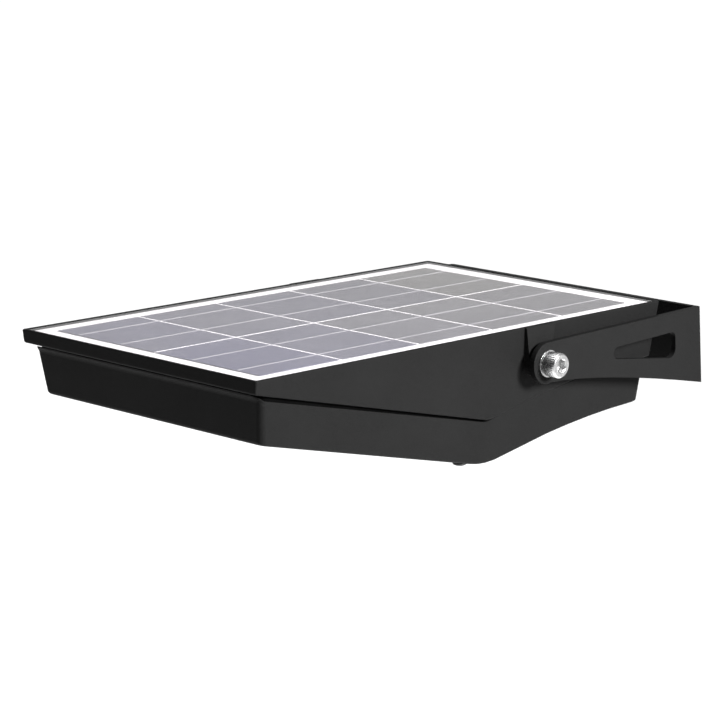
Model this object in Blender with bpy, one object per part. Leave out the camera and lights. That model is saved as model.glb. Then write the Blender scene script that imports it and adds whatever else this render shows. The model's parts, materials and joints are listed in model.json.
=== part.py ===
"""Solar flood light: a panel-topped lamp head that tilts between the arms of a folded steel wall bracket.

World frame: the origin is the middle of the bracket's wall face, +Y points into the wall, +Z is up.
The head has its own frame, which lies close to the pivot axis: -Y is its front, +Z its panel side.
All sizes below are in millimetres; MM turns them into metres.
"""

from math import atan, cos, degrees, pi, radians, sin, tan

import bmesh
import bpy
from mathutils import Matrix, Vector

MM = 0.001
GAP = 0.3
REACH = 40.0  # how far a cutter runs past the face that it opens

# Head, in the head frame
HALF_WIDTH = 84.0
FRONT_Y = -200.5
FRONT_SIDE_Y = -189.0
REAR_Y = 98.6
TOP_Z = 18.5
RIM_BOTTOM_Z = 11.9
WALL = 2.4
SIDE_DRAFT = tan(radians(7.8))
END_DRAFT = tan(radians(3.0))
HEAD_TILT = radians(-5.5)
HEAD_SHIFT_Y = 0.95
HEAD_SHIFT_Z = 0.59

# Underside: a straight front slope meets a rear slope that flattens towards the back
VERTEX_Y = -26.4
VERTEX_Z = -53.1
FRONT_SLOPE = 0.234
REAR_SLOPE = 0.24
REAR_SLOPE_END = 0.02
REAR_RUN = 120.0
SKIRT_SHIFT_Y = -4.1
SKIRT_SHIFT_Z = 25.2
VERTEX_BLEND = 12.0
SKIRT_BLEND = 3.0

# Seam between the two shells: narrow under the front rim and at the rear, widest behind the front corners
SEAM_UNDER_RIM = 0.5
SEAM_FRONT = 2.5
SEAM_VERTEX = 1.3
SEAM_REAR = 0.8
SEAM_STEP_Y = (-196.2, -192.0)
SEAM_GAP = 0.15
TUB_INSET = 1.8
TUB_REAR_INSET = 0.7
TUB_FRONT_INSET = 5.0
TUB_FRONT_DRAFT = tan(radians(8.3))
FLANGE_FRONT_INSET = 3.4
FLANGE_CORNER_RADIUS = 5.0
FLANGE_THICK = 0.8
FLANGE_FILLET = 1.4
TUB_EDGE_RADIUS = 1.4
TUB_CORNER_RADIUS = 3.2
TUB_REAR_RADIUS = 4.0
RIM_CORNER_RADIUS = 0.9
RIM_REAR_RADIUS = 1.6
TOP_CHAMFER = 0.5
SKIRT_EDGE = 0.8
SKIRT_FOOT = 4.2
SEAL_INSET = 1.2
SEAL_WIDTH = 1.1
TRAY_CORNER_RADIUS = 4.0

# Solar panel
LIP = 1.8
COVER_TOP_Z = 18.25
COVER_THICK = 0.5
PANEL_GAP = 0.2
CELL_THICK = 0.25
SHEET_THICK = 1.8
LEDGE_Z = 14.8
LEDGE_UNDER_Z = 13.2
LEDGE_WIDTH = 14.0
RIB_PLACES = (0.35, 0.65)
RIB_HALF_WIDTH = 4.0
CELL_AREA_WIDTH = 144.5
CELL_AREA_LENGTH = 270.4
CELL_AREA_Y = -51.8
CELL_ROWS = 5
CELL_COLUMNS = 2
CELL_SPACING = 1.0

# Pivot: M8 cap screws through the arms into nuts held in the side bosses
PAD_TOP_DROP = 0.25
PAD_TOP_HALF = 11.2
PAD_R = 8.0
BOSS_R = 12.8
BOSS_OUTER_X = 78.5
PAD_X = 85.3
BOSS_INNER_X = 70.0
ARM_INNER_X = 87.3
ARM_OUTER_X = 90.3
BOLT_R = 4.0
BOLT_HEAD_R = 6.5
BOLT_HEAD_LENGTH = 8.0
BOLT_LENGTH = 20.0
BOLT_SOCKET_FLATS = 6.0
NUT_FLATS = 13.0
NUT_THICK = 6.4
WASHER_R = 7.0
WASHER_THICK = 0.8
FRICTION_WASHER_R = 7.6

# Wall bracket, in the world frame; the web stands on the wall at Y = 0
PIVOT_Y = -128.2
PIVOT_Z = 20.7
SHEET = 3.0
BEND_OUTER_R = 1.6
BEND_INNER_R = 0.6
ARM_END_R = 10.8
WEB_TOP_Z = 21.6
WEB_BOTTOM_Z = -21.1
WEB_HOLE_R = 3.3
WEB_HOLE_X = 15.0
WEB_SLOT_X = 40.0
WEB_SLOT_HALF = 6.0

# Lamp window on the front slope: the window frame's origin lies on the outer face
WINDOW_Y = -112.0
OPENING_X = 116.0
OPENING_Y = 100.0
PANE_X = 126.0
PANE_Y = 110.0
PANE_THICK = 3.0
REFLECTOR_DEPTH = 9.0
LED_COLUMNS = 6
LED_ROWS = 4
LED_PITCH = 16.0
LED_SIZE = 3.5
LED_HEIGHT = 0.8
SPREADER_THICK = 3.0
FIN_COUNT = 9
FIN_HEIGHT = 6.0

# Button and control board on the rear slope
SERVICE_Y = 45.0
BOARD_THICK = 1.6
BOARD_LOW = 11.2
BUTTON_X = 22.0
BUTTON_R = 6.8
BUTTON_PROUD = 1.2
STEM_R = 1.7
STATUS_X = 38.0
STATUS_R = 2.0
SWITCH_HALF = 3.1
SWITCH_LOW = 7.2
CONTROL_BOARD_X = 100.0
CONTROL_BOARD_Y = 48.0

# Screws that close the housing
SIDE_SCREW_X = 68.0
SIDE_SCREW_YS = (-41.0, 76.0)
FRONT_SCREW_X = 60.0
FRONT_SCREW_Y = -176.0
SIDE_RECESS = 0.8
FRONT_RECESS = 4.0
SCREW_R = 2.0
SCREW_HEAD_R = 3.6
SCREW_HEAD_HEIGHT = 1.3
SCREW_BOSS_R = 4.6
SMALL_SCREW_R = 1.5
SMALL_HEAD_R = 2.8
SMALL_HEAD_HEIGHT = 1.8
SMALL_SCREW_LENGTH = 9.0
POST_R = 3.4
POST_HOLE_R = 1.7
LAMP_POST_X = 67.6
LAMP_POST_Y = 38.0
BOARD_POST_X = 44.0
BOARD_POST_Y = 18.0

# Battery
BATTERY_R = 9.2
BATTERY_LENGTH = 65.0
BATTERY_PITCH = 19.4
BATTERY_Y = -18.5
BATTERY_Z = -30.0


# ---------------------------------------------------------------- scene helpers


def clear_scene():
    for obj in list(bpy.data.objects):
        bpy.data.objects.remove(obj, do_unlink=True)


def material(name, colour, roughness, metallic=0.0, alpha=1.0):
    made = bpy.data.materials.new(name)
    made.use_nodes = True
    shader = made.node_tree.nodes["Principled BSDF"]
    shader.inputs["Base Color"].default_value = (*colour, 1.0)
    shader.inputs["Roughness"].default_value = roughness
    shader.inputs["Metallic"].default_value = metallic
    shader.inputs["Alpha"].default_value = alpha
    made.diffuse_color = (*colour, alpha)
    return made


def make_materials():
    return {
        "black_paint": material("black_paint", (0.035, 0.036, 0.038), 0.62),
        "glass": material("glass", (0.75, 0.8, 0.85), 0.08, alpha=0.25),
        "cell": material("cell", (0.05, 0.055, 0.11), 0.3),
        "white_sheet": material("white_sheet", (0.86, 0.87, 0.87), 0.45),
        "rubber": material("rubber", (0.02, 0.02, 0.02), 0.8),
        "steel": material("steel", (0.62, 0.61, 0.6), 0.3, metallic=1.0),
        "black_steel": material("black_steel", (0.05, 0.05, 0.052), 0.42, metallic=0.6),
        "aluminium": material("aluminium", (0.7, 0.71, 0.72), 0.4, metallic=1.0),
        "nylon": material("nylon", (0.06, 0.06, 0.06), 0.5),
        "white_plastic": material("white_plastic", (0.85, 0.85, 0.83), 0.35),
        "battery_wrap": material("battery_wrap", (0.05, 0.16, 0.42), 0.35),
        "board": material("board", (0.03, 0.19, 0.08), 0.45),
        "cable": material("cable", (0.04, 0.04, 0.045), 0.5),
    }


def frame(name, parent, location, tilt_x=0.0):
    """An empty that carries the pieces built in its own frame."""
    empty = bpy.data.objects.new(name, None)
    bpy.context.scene.collection.objects.link(empty)
    empty.location = Vector(location) * MM
    empty.rotation_euler.x = tilt_x
    empty.parent = parent
    return empty


def add(name, mesh_builder, parent, look, smooth_angle=35.0):
    """Turns a bmesh in millimetres into an object; look is its material, or None for a cutter."""
    bmesh.ops.recalc_face_normals(mesh_builder, faces=mesh_builder.faces)
    bmesh.ops.scale(mesh_builder, vec=(MM, MM, MM), verts=mesh_builder.verts)
    mesh = bpy.data.meshes.new(name)
    mesh_builder.to_mesh(mesh)
    mesh_builder.free()
    obj = bpy.data.objects.new(name, mesh)
    bpy.context.scene.collection.objects.link(obj)
    obj.parent = parent
    if look is None:
        obj.hide_render = True
        obj.display_type = "WIRE"
        return obj
    mesh.materials.append(look)
    mesh.shade_smooth()
    mesh.set_sharp_from_angle(angle=radians(smooth_angle))
    return obj


def combine(target, other, operation):
    """A Boolean modifier; the other object must be a cutter."""
    modifier = target.modifiers.new(operation.title() + "_" + other.name, "BOOLEAN")
    modifier.object = other
    modifier.operation = operation
    modifier.solver = "EXACT"


def cutter(name, mesh_builder, parent):
    return add("cut_" + name, mesh_builder, parent, None)


def cut(target, name, mesh_builder, parent):
    combine(target, cutter(name, mesh_builder, parent), "DIFFERENCE")


def join(target, name, mesh_builder, parent):
    combine(target, cutter(name, mesh_builder, parent), "UNION")


def bevel(obj, width, segments=1, angle=40.0):
    modifier = obj.modifiers.new("Edge", "BEVEL")
    modifier.width = width * MM
    modifier.segments = segments
    modifier.limit_method = "ANGLE"
    modifier.angle_limit = radians(angle)


# ---------------------------------------------------------------- shape helpers (millimetres)


def box(low, high):
    made = bmesh.new()
    bmesh.ops.create_cube(made, size=1.0)
    size = Vector(high) - Vector(low)
    middle = (Vector(high) + Vector(low)) / 2
    bmesh.ops.scale(made, vec=size, verts=made.verts)
    bmesh.ops.translate(made, vec=middle, verts=made.verts)
    return made


def prism(outline, axis, start, end):
    """Extrudes a closed outline along axis; the outline holds the other two coordinates in order."""
    made = bmesh.new()

    def point(pair, along):
        values = list(pair)
        values.insert("XYZ".index(axis), along)
        return values

    verts = [made.verts.new(point(pair, start)) for pair in outline]
    face = made.faces.new(verts)
    grown = bmesh.ops.extrude_face_region(made, geom=[face])
    moved = [item for item in grown["geom"] if isinstance(item, bmesh.types.BMVert)]
    shift = Vector((0, 0, 0))
    shift["XYZ".index(axis)] = end - start
    bmesh.ops.translate(made, vec=shift, verts=moved)
    return made


def arc(centre, radius, start, end, segments):
    """Points on an arc, with its angles in degrees."""
    step = (end - start) / segments
    angles = [radians(start + step * index) for index in range(segments + 1)]
    return [(centre[0] + radius * cos(angle), centre[1] + radius * sin(angle)) for angle in angles]


def circle(centre, radius, segments):
    return arc(centre, radius, 0.0, 360.0, segments)[:-1]


def rounded_rectangle(low, high, radius, segments=3):
    corners = (
        ((high[0] - radius, low[1] + radius), -90.0),
        ((high[0] - radius, high[1] - radius), 0.0),
        ((low[0] + radius, high[1] - radius), 90.0),
        ((low[0] + radius, low[1] + radius), 180.0),
    )
    outline = []
    for centre, start in corners:
        outline += arc(centre, radius, start, start + 90.0, segments)
    return outline


def hexagon(centre, across_flats):
    return circle(centre, across_flats / 2 / cos(pi / 6), 6)


def turned(profile, axis, centre, segments=32):
    """Turns a closed (radius, along) profile about a line through centre, parallel to X or Z."""
    made = bmesh.new()
    verts = [made.verts.new((radius, 0.0, along)) for radius, along in profile]
    edges = [made.edges.new((verts[index - 1], verts[index])) for index in range(len(verts))]
    bmesh.ops.spin(made, geom=verts + edges, axis=(0, 0, 1), angle=2 * pi, steps=segments, use_merge=True)
    bmesh.ops.remove_doubles(made, verts=made.verts, dist=0.001)
    turn = Matrix.Rotation(pi / 2, 4, "Y") if axis == "X" else Matrix.Identity(4)
    bmesh.ops.transform(made, matrix=Matrix.Translation(centre) @ turn, verts=made.verts)
    return made


def frame_plate(outer, hole, low_z, high_z, radius=4.0):
    """A flat ring: a rounded rectangle with a rounded rectangular hole, both given as (x, y) sizes."""
    made = bmesh.new()
    rings = []
    for z in (low_z, high_z):
        for size, corner in ((outer, radius), (hole, max(radius - 2.0, 1.0))):
            outline = rounded_rectangle((-size[0] / 2, -size[1] / 2), (size[0] / 2, size[1] / 2), corner)
            rings.append([made.verts.new((x, y, z)) for x, y in outline])
    outer_low, hole_low, outer_high, hole_high = rings
    order = (outer_low, outer_high, hole_high, hole_low)
    for index, loop in enumerate(order):
        join_rings(made, order[index - 1], loop)
    return made


def join_rings(made, first, second):
    count = len(first)
    for index in range(count):
        following = (index + 1) % count
        made.faces.new((first[index], first[following], second[following], second[index]))


# ---------------------------------------------------------------- head outline


def underside_z(y, shift_y=0.0, shift_z=0.0, blend=VERTEX_BLEND):
    """Height of the underside's line at y, with its vertex rounded over the blend length."""
    vertex_y = VERTEX_Y + shift_y
    vertex_z = VERTEX_Z + shift_z

    def unrounded(distance):
        if distance <= 0:
            return vertex_z - FRONT_SLOPE * distance
        fall = (REAR_SLOPE - REAR_SLOPE_END) * distance * distance / (2 * REAR_RUN)
        return vertex_z + REAR_SLOPE * distance - fall

    distance = y - vertex_y
    if abs(distance) >= blend:
        return unrounded(distance)
    part = (distance + blend) / (2 * blend)
    start, end = unrounded(-blend), unrounded(blend)
    return (1 - part) ** 2 * start + 2 * part * (1 - part) * vertex_z + part**2 * end


def skirt_z(y):
    """Lower edge of the upper shell: the underside's line raised, and the rim's bottom at the front."""
    return min(RIM_BOTTOM_Z, underside_z(y, SKIRT_SHIFT_Y, SKIRT_SHIFT_Z, SKIRT_BLEND))


def seam_height(y):
    """Gap between the shells, straight from one of these stations to the next."""
    vertex = VERTEX_Y + SKIRT_SHIFT_Y
    stations = (
        (FRONT_Y, SEAM_UNDER_RIM),
        (SEAM_STEP_Y[0], SEAM_UNDER_RIM),
        (SEAM_STEP_Y[1], SEAM_FRONT),
        (vertex, SEAM_VERTEX),
        (vertex + 12.0, SEAM_REAR),
        (REAR_Y, SEAM_REAR),
    )
    for (start, low), (end, high) in zip(stations, stations[1:]):
        if y <= end:
            return low + (high - low) * max(y - start, 0.0) / (end - start)
    return SEAM_REAR


def side_stations():
    """The y positions along each side where the outlines bend."""
    vertex_skirt = VERTEX_Y + SKIRT_SHIFT_Y
    near_vertex = [VERTEX_Y + VERTEX_BLEND * part for part in (-1.0, -0.5, 0.0, 0.5, 1.0)]
    near_skirt = [vertex_skirt + SKIRT_BLEND * part for part in (-1.0, 0.0, 1.0, 4.0)]
    rear = [20.0, 37.0, 54.0, 70.0]
    return sorted([FRONT_SIDE_Y, -150.0] + near_vertex + near_skirt + rear)


def ring(made, height, insets, radii, front_draft=END_DRAFT):
    """One closed loop round the head: height gives z from y; insets are (side, front, rear)."""
    side_inset, front_inset, rear_inset = insets
    front_radius, rear_radius = radii
    right = []

    def side_point(y, inward):
        z = height(y)
        right.append((HALF_WIDTH - side_inset - (TOP_Z - z) * SIDE_DRAFT - inward, y, z))

    for angle in range(-90, 1, 15):
        y = FRONT_Y + front_inset + front_radius * (1 + sin(radians(angle)))
        y += (TOP_Z - height(y)) * front_draft
        side_point(y, front_radius * (1 - cos(radians(angle))))
    corner_end = right[-1][1] + 0.1
    for y in side_stations():
        side_point(max(y, corner_end), 0.0)
    for angle in range(0, 91, 30):
        y = REAR_Y - rear_inset - rear_radius * (1 - sin(radians(angle)))
        y -= (TOP_Z - height(y)) * END_DRAFT
        side_point(y, rear_radius * (1 - cos(radians(angle))))
    left = [(-x, y, z) for x, y, z in reversed(right)]
    return [made.verts.new(point) for point in right + left]


def ladder_cap(made, loop):
    """Closes a loop that is its own mirror image, rung by rung from front to rear."""
    last = len(loop) - 1
    for index in range(len(loop) // 2 - 1):
        made.faces.new((loop[index], loop[index + 1], loop[last - index - 1], loop[last - index]))


def level(z):
    return lambda y: z


# ---------------------------------------------------------------- housing


def build_upper_housing(head, pivot, looks):
    """Rim, panel tray and side skirts in one casting, with a pivot boss on each side."""
    made = bmesh.new()
    rim = (RIM_CORNER_RADIUS, RIM_REAR_RADIUS)
    tray = (TRAY_CORNER_RADIUS, TRAY_CORNER_RADIUS)
    loops = [
        ring(made, level(TOP_Z), [TOP_CHAMFER] * 3, rim),
        ring(made, level(TOP_Z - TOP_CHAMFER), [0.0] * 3, rim),
        ring(made, above_skirt(SKIRT_EDGE), [0.0] * 3, rim),
        ring(made, above_skirt(SKIRT_EDGE * 0.3), [SKIRT_EDGE * 0.25] * 3, rim),
        ring(made, above_skirt(0.0), [SKIRT_EDGE * 0.75] * 3, rim),
        ring(made, above_skirt(0.0), [SKIRT_FOOT] * 3, rim),
        ring(made, above_skirt(SKIRT_EDGE), [WALL] * 3, rim),
        ring(made, level(LEDGE_UNDER_Z), [WALL] * 3, rim),
        ring(made, level(LEDGE_UNDER_Z), [LEDGE_WIDTH] * 3, tray),
        ring(made, level(LEDGE_Z), [LEDGE_WIDTH] * 3, tray),
        ring(made, level(LEDGE_Z), [LIP] * 3, rim),
        ring(made, level(TOP_Z), [LIP] * 3, rim),
    ]
    for index, loop in enumerate(loops):
        join_rings(made, loops[index - 1], loop)
    housing = add("upper_housing", made, head, looks["black_paint"])
    for side in (1, -1):
        combine(housing, pivot_boss(pivot, head, side), "UNION")
    for x, y, _ in screw_places():
        join(housing, f"block_{x:.0f}_{y:.0f}", screw_block(x, y), head)
    for part in RIB_PLACES:
        rib_y = FRONT_Y + (REAR_Y - FRONT_Y) * part
        join(housing, f"rib_{rib_y:.0f}", tray_rib(rib_y), head)
    for side in (1, -1):
        cut_pivot_holes(housing, pivot, side)
    for x, y, _ in screw_places():
        low_z = skirt_z(y) - 10.0
        hole = prism(circle((x, y), SCREW_R + GAP, 12), "Z", low_z, LEDGE_UNDER_Z - 2.0)
        cut(housing, f"upper_screw_{x:.0f}_{y:.0f}", hole, head)
    return housing


def above_skirt(distance):
    return lambda y: skirt_z(y) + distance


def between(side, first, second, low_y, high_y, low_z, high_z):
    """A box on one side of the head, from one distance from the middle plane to another."""
    low_x, high_x = sorted((side * first, side * second))
    return box((low_x, low_y, low_z), (high_x, high_y, high_z))


def pivot_boss(pivot, head, side):
    """A boss that holds the nut inside, and the tapered pad on it that the arm clamps against."""
    top_z = TOP_Z + HEAD_SHIFT_Z - PAD_TOP_DROP
    outline = [(BOSS_R, top_z), (-BOSS_R, top_z)]
    outline += arc((0.0, 0.0), BOSS_R, 180.0, 360.0, 20)
    boss = cutter(f"boss_{side}", prism(outline, "X", side * BOSS_INNER_X, side * BOSS_OUTER_X), pivot)
    taper = degrees(atan((PAD_TOP_HALF - PAD_R) / top_z))
    outline = [(PAD_TOP_HALF, top_z), (-PAD_TOP_HALF, top_z)]
    outline += arc((0.0, 0.0), PAD_R, 180.0 + taper, 360.0 - taper, 18)
    join(boss, f"pad_{side}", prism(outline, "X", side * (BOSS_OUTER_X - 1.5), side * PAD_X), pivot)
    inner = BOSS_INNER_X - 10.0
    below_tray = between(side, inner, BOSS_OUTER_X + 0.5, -REACH, REACH, LEDGE_UNDER_Z, REACH)
    over_pocket = between(side, inner, HALF_WIDTH - LIP, -REACH, REACH, LEDGE_Z - 0.4, REACH)
    cut(boss, f"boss_tray_{side}", below_tray, head)
    cut(boss, f"boss_pocket_{side}", over_pocket, head)
    return boss


def cut_pivot_holes(housing, pivot, side):
    """The bolt's hole through the boss, and the six-sided pocket that holds its nut."""
    start = side * (BOSS_INNER_X - 5.0)
    hole = prism(circle((0.0, 0.0), BOLT_R + GAP, 24), "X", start, side * (PAD_X + 5.0))
    cut(housing, f"bolt_{side}", hole, pivot)
    depth = BOSS_INNER_X + NUT_THICK + 2 * GAP
    pocket = prism(hexagon((0.0, 0.0), NUT_FLATS + 2 * GAP), "X", start, side * depth)
    cut(housing, f"nut_{side}", pocket, pivot)


def tray_rib(y):
    """A bar across the tray's opening that carries the panel's middle."""
    reach = HALF_WIDTH - LEDGE_WIDTH + 3.0
    low = (-reach, y - RIB_HALF_WIDTH, LEDGE_UNDER_Z + 0.1)
    return box(low, (reach, y + RIB_HALF_WIDTH, LEDGE_Z - 0.1))


def screw_places():
    """(x, y, recess) of the six closing screws; recess is how far each head sits inside the underside."""
    sides = [(side * SIDE_SCREW_X, y, SIDE_RECESS) for y in SIDE_SCREW_YS for side in (1, -1)]
    fronts = [(side * FRONT_SCREW_X, FRONT_SCREW_Y, FRONT_RECESS) for side in (1, -1)]
    return sides + fronts


def screw_block(x, y):
    """A block that a closing screw bites into; its outer end is buried in the skirt wall."""
    low_z = skirt_z(y) + 2.0
    side = 1 if x > 0 else -1
    outer = HALF_WIDTH - WALL / 2 - (TOP_Z - low_z) * SIDE_DRAFT
    inner = abs(x) - SCREW_BOSS_R
    return between(side, inner, outer, y - SCREW_BOSS_R, y + SCREW_BOSS_R, low_z, LEDGE_UNDER_Z + 0.6)


def build_lower_housing(head, window, service, looks):
    """The tub: drafted walls, a flared flange under the front rim, and a rounded bottom edge."""
    made = bmesh.new()

    def below_seam(distance):
        return lambda y: skirt_z(y) - seam_height(y) - distance

    def above_floor(distance):
        return lambda y: underside_z(y) + distance

    side, front, rear = TUB_INSET, TUB_FRONT_INSET, TUB_REAR_INSET
    corner = (TUB_CORNER_RADIUS, TUB_REAR_RADIUS)
    inner_corner = (TUB_CORNER_RADIUS - WALL, TUB_REAR_RADIUS - WALL)
    inner = [inset + WALL for inset in (side, front, rear)]
    flange = (FLANGE_CORNER_RADIUS, TUB_REAR_RADIUS)
    draft = TUB_FRONT_DRAFT
    loops = [
        ring(made, below_seam(0.0), inner, inner_corner, draft),
        ring(made, below_seam(0.0), (side, FLANGE_FRONT_INSET, rear), flange, draft),
    ]
    for angle in (0.0, 30.0, 60.0, 90.0):
        inward = FLANGE_FILLET * sin(radians(angle))
        down = FLANGE_THICK + FLANGE_FILLET * (1 - cos(radians(angle)))
        share = angle / 90.0
        radius = FLANGE_CORNER_RADIUS + (TUB_CORNER_RADIUS - FLANGE_CORNER_RADIUS) * share
        inset = (side, front - FLANGE_FILLET + inward, rear)
        loops.append(ring(made, below_seam(down), inset, (radius, TUB_REAR_RADIUS), draft))
    for angle in (0.0, 30.0, 60.0, 90.0):
        inward = TUB_EDGE_RADIUS * (1 - cos(radians(angle)))
        up = TUB_EDGE_RADIUS * (1 - sin(radians(angle)))
        inset = (side + inward, front + inward, rear + inward)
        loops.append(ring(made, above_floor(up), inset, corner, draft))
    floor = ring(made, above_floor(WALL), inner, inner_corner, draft)
    for first, second in zip(loops, loops[1:]):
        join_rings(made, first, second)
    ladder_cap(made, loops[-1])
    join_rings(made, floor, loops[0])
    ladder_cap(made, floor)
    tub = add("lower_housing", made, head, looks["black_paint"])
    for place in screw_places():
        join(tub, f"column_{place[0]:.0f}_{place[1]:.0f}", screw_column(*place), head)
    add_posts(tub, window, service)
    for place in screw_places():
        cut_screw_holes(tub, head, *place)
    opening = rounded_rectangle((-OPENING_X / 2, -OPENING_Y / 2), (OPENING_X / 2, OPENING_Y / 2), 6.0)
    cut(tub, "window", prism(opening, "Z", -8.0, 8.0), window)
    cut(tub, "button", prism(circle((BUTTON_X, 0.0), BUTTON_R + GAP, 28), "Z", -6.0, 8.0), service)
    cut(tub, "status", prism(circle((STATUS_X, 0.0), STATUS_R + GAP, 16), "Z", -6.0, 8.0), service)
    return tub


def add_posts(tub, window, service):
    """Posts on the tub's floor, each with the hole that its screw bites into."""
    for name, parent, posts, top in post_groups(window, service):
        for x, y in posts:
            post = prism(circle((x, y), POST_R, 14), "Z", 1.0, top - GAP)
            join(tub, f"{name}_post_{x:.0f}_{y:.0f}", post, parent)
            hole = prism(circle((x, y), POST_HOLE_R, 12), "Z", top - SMALL_SCREW_LENGTH, top + 3.0)
            cut(tub, f"{name}_thread_{x:.0f}_{y:.0f}", hole, parent)


def four(x, y):
    return [(side * x, end * y) for side in (-1, 1) for end in (-1, 1)]


def post_groups(window, service):
    """Posts on the tub's floor: four carry the heat spreader, four the control board."""
    return (
        ("lamp", window, four(LAMP_POST_X, LAMP_POST_Y), lamp_levels()["spreader"]),
        ("board", service, four(BOARD_POST_X, BOARD_POST_Y), BOARD_LOW),
    )


def screw_column(x, y, recess):
    """A column from the tub's floor up to the block that its screw bites into."""
    return prism(circle((x, y), SCREW_BOSS_R, 16), "Z", underside_z(y) + 1.2, skirt_z(y) + 2.0 - GAP)


def cut_screw_holes(tub, head, x, y, recess):
    """The shank's hole, and the recess that the head sits in."""
    floor_z = underside_z(y)
    shank = prism(circle((x, y), SCREW_R + GAP, 12), "Z", floor_z - 8.0, skirt_z(y) + 8.0)
    cut(tub, f"shank_{x:.0f}_{y:.0f}", shank, head)
    well = prism(circle((x, y), SCREW_HEAD_R + GAP, 16), "Z", floor_z - 8.0, floor_z + recess)
    cut(tub, f"well_{x:.0f}_{y:.0f}", well, head)


def screw(name, parent, place, look, seat, tip, radius, head_radius, head_height):
    """A pan head screw along Z from its seat to its tip; the head stands on the seat's other side."""
    outward = -1.0 if tip > seat else 1.0
    profile = [
        (0.0, seat + outward * head_height),
        (head_radius * 0.6, seat + outward * head_height),
        (head_radius, seat + outward * head_height * 0.4),
        (head_radius, seat),
        (radius, seat),
        (radius, tip),
        (0.0, tip),
    ]
    return add(name, turned(profile, "Z", (*place, 0.0), 14), parent, look)


def build_closing_screws(head, looks):
    """Pan head screws from below, each head in its recess."""
    for number, (x, y, recess) in enumerate(screw_places(), 1):
        seat = underside_z(y) + recess - GAP
        tip = min(skirt_z(y) + 12.0, LEDGE_UNDER_Z - 3.0)
        size = (SCREW_R, SCREW_HEAD_R, SCREW_HEAD_HEIGHT)
        screw(f"housing_screw_{number}", head, (x, y), looks["black_steel"], seat, tip, *size)


def build_housing_gasket(head, looks):
    """The seal that fills the seam between the shells, set back from the outer face."""
    made = bmesh.new()

    def upper(y):
        return skirt_z(y) - SEAM_GAP

    def lower(y):
        clear_of_step = y - 1.0
        return skirt_z(y) - seam_height(clear_of_step) + SEAM_GAP

    outer = [inset + SEAL_INSET for inset in (TUB_INSET, TUB_FRONT_INSET, TUB_REAR_INSET)]
    inner = [inset + SEAL_WIDTH for inset in outer]
    places = ((lower, outer, (3.4, 3.0)), (upper, outer, (3.4, 3.0)))
    places += ((upper, inner, (1.4, 2.0)), (lower, inner, (1.4, 2.0)))
    loops = [ring(made, height, insets, radii, TUB_FRONT_DRAFT) for height, insets, radii in places]
    for index, loop in enumerate(loops):
        join_rings(made, loops[index - 1], loop)
    add("housing_gasket", made, head, looks["rubber"])


# ---------------------------------------------------------------- solar panel


def panel_size():
    depth = TOP_Z - LEDGE_Z
    width = 2 * (HALF_WIDTH - LIP - GAP - depth * SIDE_DRAFT)
    length = REAR_Y - FRONT_Y - 2 * (LIP + GAP) - 2 * depth * END_DRAFT
    return width, length


def build_panel(head, looks):
    """A clear cover over ten cells on a white-faced board, bedded on a seal."""
    width, length = panel_size()
    middle = frame("panel_frame", head, (0.0, (FRONT_Y + REAR_Y) / 2, 0.0))
    outline = rounded_rectangle((-width / 2, -length / 2), (width / 2, length / 2), 0.8, 2)
    cover_low = COVER_TOP_Z - COVER_THICK
    bevel(add("panel_cover", prism(outline, "Z", cover_low, COVER_TOP_Z), middle, looks["glass"]), 0.15)
    cell_top = cover_low - PANEL_GAP
    sheet_top = cell_top - CELL_THICK - PANEL_GAP
    sheet_low = sheet_top - SHEET_THICK
    add("panel_backsheet", prism(outline, "Z", sheet_low, sheet_top), middle, looks["white_sheet"])
    seal_low, seal_top = LEDGE_Z + GAP / 2, sheet_low - GAP / 2
    seal = frame_plate((width - 2.0, length - 2.0), (width - 16.0, length - 16.0), seal_low, seal_top)
    add("panel_seal", seal, middle, looks["rubber"])
    build_cells(head, looks, cell_top)
    build_junction_box(head, looks, sheet_low - GAP)


def build_cells(head, looks, top):
    cell_x = (CELL_AREA_WIDTH - CELL_SPACING * (CELL_COLUMNS - 1)) / CELL_COLUMNS
    cell_y = (CELL_AREA_LENGTH - CELL_SPACING * (CELL_ROWS - 1)) / CELL_ROWS
    number = 0
    for row in range(CELL_ROWS):
        for column in range(CELL_COLUMNS):
            number += 1
            low_x = -CELL_AREA_WIDTH / 2 + column * (cell_x + CELL_SPACING)
            low_y = CELL_AREA_Y - CELL_AREA_LENGTH / 2 + row * (cell_y + CELL_SPACING)
            made = box((low_x, low_y, top - CELL_THICK), (low_x + cell_x, low_y + cell_y, top))
            add(f"solar_cell_{number:02d}", made, head, looks["cell"])


def build_junction_box(head, looks, top):
    """The box that brings the panel's leads out of its back, inside the tray's opening."""
    outline = rounded_rectangle((-20.0, 10.0), (20.0, 38.0), 2.0, 2)
    obj = add("junction_box", prism(outline, "Z", top - 9.0, top), head, looks["nylon"])
    bevel(obj, 0.6)


# ---------------------------------------------------------------- pivot and bracket


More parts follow.
